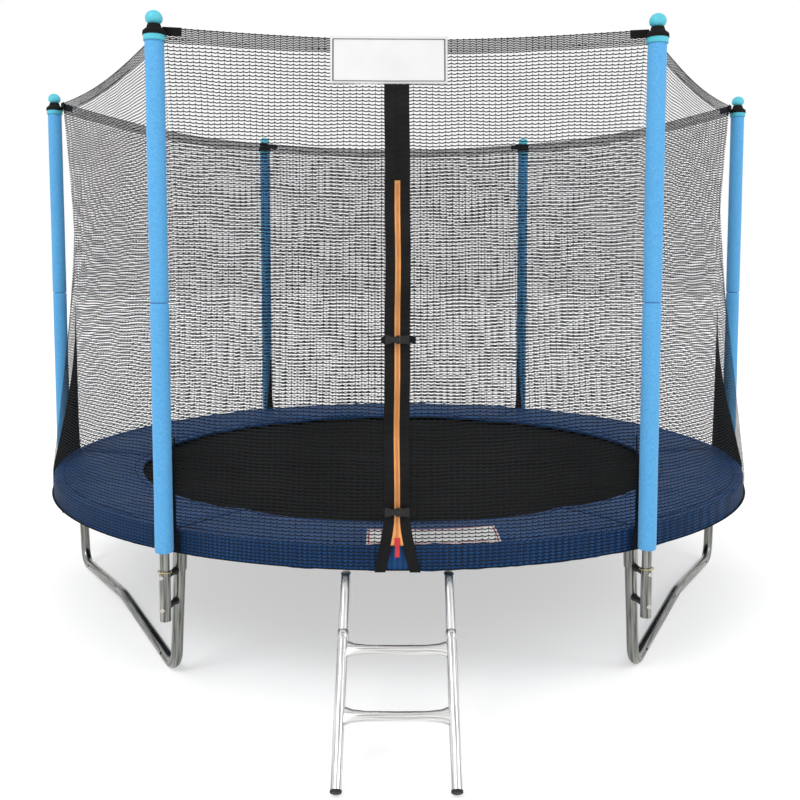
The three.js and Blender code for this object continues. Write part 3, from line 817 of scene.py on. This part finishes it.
def make_net_panel(index, yarn):
    """One panel of knit: zigzag rows of yarn, joined by short upright ties, with an opening at the door."""
    angle0 = index * SECTOR
    width = 2 * NET_R * math.sin(SECTOR / 2)
    columns = int(round(width / (WAVE / 2)))
    rows = int(round(NET_TALL / ROW_PITCH))
    skirt_rows = int(NET_SKIRT / ROW_PITCH)
    rises = [-k * ROW_PITCH for k in range(skirt_rows, 0, -1)] + [k / rows for k in range(rows + 1)]
    hem_rises = [1 - (k - 0.5) / rows for k in range(1, 5)]
    s = np.linspace(0.0006, 0.9994, columns + 1)
    verts, faces, count = [], [], 0
    zig = 0.0012 * np.where(np.arange(columns + 1) % 2, 1, -1)
    for rise in rises + hem_rises:
        line = knit_line(angle0, s, rise)
        for lift in (-ROW_HALF, ROW_HALF):
            row = line.copy()
            row[:, 2] += zig + lift
            verts.append(row)
        a = count + np.arange(columns)
        faces.append(np.stack([a, a + 1, a + columns + 2, a + columns + 1], axis=1))
        count += 2 * (columns + 1)
    ties = s[1:-1:2]
    for low, high in zip(rises, rises[1:]):
        a = count + 4 * np.arange(len(ties))
        corners = []
        for rise, side in ((low, -1), (low, 1), (high, 1), (high, -1)):
            corner = knit_line(angle0, ties + side * TIE_HALF / width, rise)
            corner[:, 2] += 0.0011
            corners.append(corner)
        verts.append(np.stack(corners, axis=1).reshape(-1, 3))
        faces.append(np.stack([a, a + 1, a + 2, a + 3], axis=1))
        count += 4 * len(ties)
    points = np.concatenate(verts)
    quads = np.concatenate(faces)
    middle = points[quads].mean(axis=1)
    doorway = np.clip((FLARE_TOP - middle[:, 2]) * 0.24, 0, 0.034)
    quads = quads[(np.abs(middle[:, 0] - FRONT_TURN * NET_R) > doorway) | (middle[:, 1] > 0)]
    piece = add_piece(f"net_mesh_{index + 1}", points, quads, yarn, [f"net_{index + 1}"])


def make_net_trim(webbing, yarn):
    """The two cords in the top hem and the binding round the foot."""
    cord, tape = Build(), Build()
    s = np.linspace(0, 1, 49)
    for i in range(POLES):
        line = net_line(i * SECTOR, s, 1.0)
        sweep(cord, line, 0.0013, 8)
        line[:, 2] -= 0.026
        sweep(cord, line, 0.0008, 6)
        sweep(tape, net_line(i * SECTOR, s, -NET_SKIRT), 0.0040, 8, flat=0.25)
    cord.moved(around(0)).piece("net_hem_cord", yarn, "black_net")
    tape.moved(around(0)).piece("net_foot_tape", webbing, "black_webbing")


def make_corner_gather(index, cloth):
    """A gusset of bunched net at a corner: wide at the rim, narrowing to a point, with soft upright folds."""
    tall = 0.54 if index in (0, 3) else 0.24
    behind, ahead = {0: (0.225, 0.07), 3: (0.07, 0.225)}.get(index, (0.016, 0.016))

    def point(u, v):
        rise = -NET_SKIRT + (tall / NET_TALL + NET_SKIRT) * v
        narrow = min(1.0, (1 - v) * 1.12) ** 1.9
        s = -(behind * narrow + 0.002) + ((behind + ahead) * narrow + 0.004) * u
        base = index if s >= 0 else index - 1
        x, y, _ = net_line(base * SECTOR, np.array([s % 1]), rise)[0]
        fold = 1 + (0.0034 + 0.0016 * math.sin(u * 52 + v * 5) * narrow) / math.hypot(x, y)
        return (x * fold, CENTRE_Y + y * fold, float(net_height(0.0, rise)))

    gather = sheet_mesh(f"net_gather_{index + 1}", point, 40, 60, cloth, "black_net", 0.0008)


def strap(build, points, width, thick, wide_axis):
    """A flat strap along a path, with its width along a fixed direction."""
    points = [Vector(p) for p in points]
    across = Vector(wide_axis).normalized()
    verts, count = [], len(points)
    for i, p in enumerate(points):
        tangent = (points[min(count - 1, i + 1)] - points[max(0, i - 1)]).normalized()
        side = (across - tangent * across.dot(tangent)).normalized()
        up = tangent.cross(side)
        for a, b in ((-1, -1), (1, -1), (1, 1), (-1, 1)):
            verts.append(p + side * a * width / 2 + up * b * thick / 2)
    build.take(verts, tube_faces(count, 4))


def make_corner_straps(webbing):
    """A band wraps each cap's shoulder and neck, and its ends are sewn along the hem on both sides."""
    build = Build()
    band = [(0.0278, -0.0080), (0.0289, -0.0080), (0.0290, -0.0020), (0.0280, 0.0026), (0.0192, 0.0100),
            (0.0162, 0.0195), (0.0148, 0.0195), (0.0176, 0.0096), (0.0264, 0.0020), (0.0278, -0.0020)]
    for i in range(POLES):
        part = Build()
        lathe(part, band, (POLE_R, 0, FOAM_TOP))
        for side in (1, -1):
            toward = Vector((-math.sin(SECTOR / 2), side * math.cos(SECTOR / 2), 0))
            corner = Vector((NET_CORNER + 0.0030, side * 0.0040, NET_TOP - 0.0095))
            path = [corner + toward * d + Vector((0.0022, 0, -d * 0.05)) for d in (0.0, 0.016, 0.032, 0.048)]
            strap(part, path, 0.0205, 0.0016, (0, 0, 1))
        part.moved(around(i * SECTOR))
        build.take(part.verts, part.faces)
    build.piece("corner_straps", webbing, "black_webbing", smooth=False)


# ---- door, zip, buckles and labels

NET_FOOT_Y = 1.2340
NET_TOP_Y = 1.233 * math.cos(SECTOR / 2) + 0.0026
LEAN = math.atan2(NET_FOOT_Y - NET_TOP_Y, NET_TALL)


def front_y(z):
    """The Y of the net's front slope at a height, measured from the mat's middle."""
    return -NET_FOOT_Y + (z - NET_RIM) * math.tan(LEAN)


def on_front(z, off):
    """The place and lean of a part that stands off metres in front of the net at a height."""
    lean = Matrix.Rotation(-LEAN, 4, "X")
    return at_front() @ Matrix.Translation((0, front_y(z) - off, z)) @ lean


def door_point(x, z, off):
    """A point of the hanging door, off metres in front of the net, with a slight sway to the sides."""
    sway = 0.0012 * math.sin(z * 7.0) + 0.0006 * math.sin(z * 23.0 + 1.0)
    return Vector((x + sway, front_y(max(z, NET_RIM)) - off, z))


def make_door(webbing, zip_tape, teeth):
    """Two cloth flaps that spread at the foot, sewn together at the top, with a zip down between them."""
    def flap(side):
        def point(u, v):
            z = DOOR_LOW + (DOOR_TOP - DOOR_LOW) * v
            spread = max(0.0, (FLARE_TOP - z) / (FLARE_TOP - DOOR_LOW)) ** 1.25
            inner = 0.0002 + 0.030 * spread
            outer = 0.0318 + 0.025 * spread
            x = side * (inner + (outer - inner) * u)
            ripple = 0.0008 * math.sin(z * 37 + side) * u
            return at_front() @ door_point(x, z, 0.0030 + ripple)
        return point

    def tape(u, v):
        z = ZIP_LOW + (ZIP_TOP - ZIP_LOW) * v
        width = 0.0140 + 0.018 * max(0.0, (0.490 - z) / 0.062) ** 1.5
        return at_front() @ door_point((u - 0.5) * width, z, 0.0045)

    for side, name in ((-1, "left"), (1, "right")):
        made = sheet_mesh(f"door_flap_{name}", flap(side), 6, 150, webbing, "black_webbing", 0.0014,
                          ["door_strip"] if side < 0 else ())
    seam = Build()
    line = [door_point(0, z, 0.0031) for z in np.linspace(ZIP_TOP - 0.028, DOOR_TOP - 0.001, 30)]
    sweep(seam, line, 0.0024, 8, flat=0.5)
    seam.moved(at_front()).piece("door_seam", webbing, "black_webbing")
    made = sheet_mesh("zip_tape", tape, 4, 140, zip_tape, "black_webbing", 0.0008)
    chain = Build()
    tooth = [(x, y, z) for x in (-0.0024, 0.0024) for y in (-0.0008, 0.0004) for z in (-0.0007, 0.0007)]
    sides = [(0, 1, 3, 2), (4, 6, 7, 5), (0, 4, 5, 1), (2, 3, 7, 6), (0, 2, 6, 4), (1, 5, 7, 3)]
    for k in range(430):
        centre = door_point(0.0009 if k % 2 else -0.0009, ZIP_LOW + 0.008 + k * 0.00206, 0.0054)
        chain.take([centre + Vector(corner) for corner in tooth], sides)
    chain.moved(at_front()).piece("zip_teeth", teeth, "black_webbing", smooth=False)


def make_slider(red):
    slider = Build()
    rounded_block(slider, (-0.0072, -0.0046, 0.029), (0.0072, -0.0012, 0.049), 0.0012)
    rounded_block(slider, (-0.0030, -0.0062, 0.034), (0.0030, -0.0040, 0.044), 0.0008)
    strap(slider, [(0, -0.0056, 0.038), (0, -0.0058, 0.026), (0, -0.0054, 0.014), (0, -0.0050, 0.002)],
          0.0110, 0.0014, (1, 0, 0))
    slider.moved(on_front(0.398, 0.0034)).piece("zip_puller", red, "red_metal", ["zip_slider"], "slider")


def plate(build, outline, y0, y1):
    """A flat shape between two depths: an outline (x, z), mirrored below its middle line."""
    loop = outline + [(x, -z) for x, z in reversed(outline)]
    build.take([(x, y, z) for y in (y0, y1) for x, z in loop], tube_faces(2, len(loop)))


SOCKET_SHAPE = [(-0.030, 0.0110), (-0.0225, 0.0110), (-0.0185, 0.0095), (-0.0130, 0.0070), (-0.0080, 0.0066),
                (-0.0035, 0.0085), (0.0005, 0.0107), (0.0060, 0.0110)]
CLIP_SHAPE = [(0.0068, 0.0110), (0.0115, 0.0098), (0.0150, 0.0088), (0.0190, 0.0098), (0.0230, 0.0110),
              (0.030, 0.0110)]


def make_buckle(name, z, plastic, webbing):
    """A side-release buckle across the zip: socket on the left, clip on the right, each on a short strap."""
    front, clip_body = on_front(z, 0.0036), "clip_" + name.split("_")[1]
    socket, clip, left, right = Build(), Build(), Build(), Build()
    plate(socket, SOCKET_SHAPE, -0.0190, -0.0170)
    plate(socket, SOCKET_SHAPE, -0.0112, -0.0090)
    plate(socket, [(x, h * 0.62) for x, h in SOCKET_SHAPE[1:]], -0.0196, -0.0188)
    rounded_block(socket, (-0.030, -0.0186, -0.0102), (-0.0215, -0.0094, 0.0102), 0.0010)
    plate(clip, CLIP_SHAPE, -0.0188, -0.0092)
    for x in (0.0205, 0.0245):
        rounded_block(clip, (x, -0.0194, -0.0100), (x + 0.0020, -0.0180, 0.0100), 0.0005)
    for side in (-1, 1):
        rim, prong = side * 0.0094, side * 0.0050
        rounded_block(socket, (-0.0010, -0.0172, rim - 0.0010), (0.0060, -0.0110, rim + 0.0010), 0.0005)
        rounded_block(clip, (-0.017, -0.0158, prong - 0.0016), (0.009, -0.0120, prong + 0.0016), 0.0008)
    strap(left, [(-0.040, -0.0008, 0), (-0.034, -0.0035, 0), (-0.030, -0.0085, 0), (-0.0275, -0.0100, 0)],
          0.016, 0.0014, (0, 0, 1))
    strap(right, [(0.0285, -0.0085, 0), (0.032, -0.0070, 0), (0.038, -0.0030, 0), (0.046, -0.0020, 0)],
          0.016, 0.0014, (0, 0, 1))
    socket.moved(front).piece(f"{name}_socket_body", plastic, "black_plastic", [f"{name}_socket"])
    clip.moved(front).piece(f"{name}_clip_body", plastic, "black_plastic", [f"{name}_clip"], clip_body)
    left.moved(front).piece(f"{name}_strap_left", webbing, "black_webbing", smooth=False)
    right.moved(front).piece(f"{name}_strap_right", webbing, "black_webbing", (), clip_body, False)


def make_cloth_label(name, place, box, grid, thickness, cloth, replaces=()):
    """A label over a box of two measures (a0, a1, b0, b1); place(a, b, lift) gives its points."""
    a0, a1, b0, b1 = box
    return sheet_mesh(name, lambda u, v: place(a0 + (a1 - a0) * u, b0 + (b1 - b0) * v, 0.0), *grid, cloth,
                      "white_cloth", thickness, replaces)


def make_border(name, place, box, inset, lift, bar, steps, edge):
    """A thin line round a label, a little inside its edge; bar is its radius and its flatness."""
    a0, a1, b0, b1 = box
    step = math.copysign(inset, b1 - b0)
    a0, a1, b0, b1 = a0 + inset, a1 - inset, b0 + step, b1 - step
    corners = [(a0, b0), (a1, b0), (a1, b1), (a0, b1)]
    border = Build()
    for (a, b), (a2, b2) in zip(corners, corners[1:] + corners[:1]):
        line = [place(a + (a2 - a) * t, b + (b2 - b) * t, lift) for t in np.linspace(0, 1, steps)]
        sweep(border, line, bar[0], 6, flat=bar[1])
    border.piece(name, edge, "white_cloth")


def make_label(white, edge):
    low, high = 1.573, 1.694
    box = (-0.1945, 0.1025, low, high)

    def place(x, z, lift):
        ripple = 0.0012 * math.sin(x * 30) * (high - z) / (high - low) + 0.0008
        return Vector((x, CENTRE_Y + front_y(z) - 0.0016 - lift - ripple, z))

    label = make_cloth_label("net_label", place, box, (40, 14), 0.0009, white, ["label"])
    make_border("net_label_border", place, box, 0.007, 0.0007, (0.0018, 0.6), 17, edge)


def pad_top(x, y):
    """The height of the pad's top at a point."""
    r, angle = math.hypot(x, y), math.atan2(y, x) % math.tau
    outline = pad_section(angle)[:PAD_SPAN + 1]
    for (r0, z0), (r1, z1) in zip(outline, outline[1:]):
        if r0 <= r <= r1:
            return z0 + (z1 - z0) * (r - r0) / (r1 - r0)
    return outline[-1][1]


def make_pad_label(white, edge):
    box = (-0.105, 0.235, 1.216, 1.069)

    def place(x, r, lift):
        y = -math.sqrt(r * r - x * x)
        return Vector((x, y + CENTRE_Y, pad_top(x, y) + 0.0012 + lift))

    label = make_cloth_label("pad_label", place, box, (24, 8), 0.0008, white)
    make_border("pad_label_border", place, box, 0.006, 0.0005, (0.0016, 0.5), 25, edge)


# ---- ladder

LADDER_TOP, LADDER_FOOT = Vector((0, -1.241, 0.343)), Vector((0, -1.604, 0.0094))
LADDER_HALF, LADDER_TUBE, LADDER_MITRE = 0.1275, 0.0125, 0.3545


def ladder_at(share, x):
    return LADDER_TOP.lerp(LADDER_FOOT, share) + Vector((x, 0, 0))


def make_rung(build, share, along, face):
    """A round bar between the rails, flattened and widened towards its ends."""
    half, sides = LADDER_HALF, 28
    stations = [(0.006 - half, 0.0225, 0.0050), (0.014 - half, 0.0205, 0.0060),
                (0.028 - half, 0.0150, 0.0080), (0.058 - half, 0.0112, 0.0092), (0, 0.0105, 0.0094)]
    stations += [(-x, deep, thin) for x, deep, thin in stations[-2::-1]]
    verts, uvs = [], []
    for x, deep, thin in stations:
        for k in range(sides):
            a = math.tau * k / sides
            verts.append(ladder_at(share, x) + along * (deep * math.cos(a)) + face * (thin * math.sin(a)))
            uvs.append((abs(2 * k / sides - 1), x * 2))
    build.take(verts, tube_faces(len(stations), sides), uvs)


def make_ladder(steel, plastic, bolt_steel):
    along = (LADDER_FOOT - LADDER_TOP).normalized()
    face = Vector((0, along.z, -along.y))
    tubes, trims, feet = Build(), Build(), Build()
    rim, collar = LADDER_TUBE + 0.0004, LADDER_TUBE + 0.0015
    hook_y, hook_r = -1.1968, 0.0201
    for side in (-1, 1):
        x = side * LADDER_HALF
        top, foot = ladder_at(0, x), ladder_at(1, x)
        first = len(tubes.verts)
        sweep(tubes, [top, top + along * 0.030, foot - along * 0.004], LADDER_TUBE, 32)
        for vert in tubes.verts[first:first + 32]:
            vert += along * ((LADDER_MITRE - vert.z) / along.z)
        joint = ladder_at(0.270, x)
        stud(tubes, joint, along, [(0, rim), (0.0015, collar), (0.0225, collar), (0.024, rim)], 32)
        stud(feet, foot, along, [(-0.0055, rim), (-0.0012, rim), (0, LADDER_TUBE - 0.0012)], 32)
        stud(trims, ladder_at(0.302, x), face, [(0.0120, 0.0050), (0.0165, 0.0048), (0.0178, 0.0028)], 18)
    for share in (0.364, 0.675):
        make_rung(tubes, share, along, face)
    path = [(hook_y + hook_r * math.cos(a), RAIL_Z + hook_r * math.sin(a))
            for a in np.linspace(math.radians(-20), math.radians(240), 30)]
    path += [(hook_y - 0.0105, RAIL_Z - 0.030), (hook_y - 0.0130, LADDER_TOP.z + 0.003),
             (hook_y - 0.020, LADDER_TOP.z + 0.002), (LADDER_TOP.y - 0.004, LADDER_TOP.z + 0.002)]
    for side in (-1, 1):
        strap(trims, [(side * LADDER_HALF, y, z) for y, z in path], 0.020, 0.003, (1, 0, 0))
    tubes.moved(at_front()).piece("ladder_frame", steel, "ladder_steel", ["ladder"], "ladder")
    feet.moved(at_front()).piece("ladder_feet", plastic, "black_plastic", body="ladder")
    trims.moved(at_front()).piece("ladder_hooks", bolt_steel, "ladder_steel", (), "ladder", False)


# ---- everything

def main():
    make_camera()
    make_studio()
    # the wide dark and light streak tones of the frame and ladder steel are painted reflections and
    # highlights along the tubes
    steel = steel_paint("galvanised_steel", (0.19, 0.195, 0.18), 0.26, 0.30, 1.75)
    bright = steel_paint("ladder_steel", (0.66, 0.66, 0.65), 0.22, 0.50, 1.35)
    bolt_steel = steel_paint("zinc_steel", (0.55, 0.54, 0.52), 0.3)
    brass = steel_paint("brass_zinc", (0.62, 0.50, 0.27), 0.3, 0.7, 1.2)
    foam, cap = foam_paint(), cap_paint()
    plastic = plastic_paint("black_plastic", (0.009, 0.009, 0.0095), 0.5)
    red = plastic_paint("red_metal", (0.50, 0.025, 0.035), 0.35)
    webbing = webbing_paint("black_webbing", (0.009, 0.0085, 0.009))
    yarn = yarn_paint()
    orange = webbing_paint("orange_tape", (0.60, 0.27, 0.095), 0.0018)
    teeth = plastic_paint("zip_teeth", (0.52, 0.22, 0.075), 0.35)
    white = cloth_label_paint("white_cloth", (0.66, 0.66, 0.66))
    grey_line = cloth_label_paint("label_line", (0.10, 0.10, 0.11))
    red_line = cloth_label_paint("label_red_line", (0.35, 0.03, 0.04))
    navy, thread = pad_paint(), webbing_paint("navy_thread", (0.010, 0.028, 0.10), 0.0012)
    make_rails(steel)
    make_legs(steel, plastic)
    for i in range(POLES):
        make_pole_base(i, steel, bolt_steel, plastic, brass)
        make_pole(i, steel)
        make_foam(i, foam)
        make_cap(i, cap)
        make_pad_segment(i, navy)
        make_net_panel(i, yarn)
    make_mat(mat_paint(), thread)
    make_springs(bolt_steel)
    make_spring_rings(bolt_steel)
    make_pad_trim(thread)
    make_net_trim(webbing, yarn)
    for i in range(POLES):
        make_corner_gather(i, yarn)
    make_corner_straps(webbing)
    make_door(webbing, orange, teeth)
    make_slider(red)
    make_buckle("buckle_upper", 0.930, plastic, webbing)
    make_buckle("buckle_lower", 0.510, plastic, webbing)
    make_label(white, grey_line)
    make_pad_label(white, red_line)
    make_ladder(bright, plastic, bolt_steel)


main()
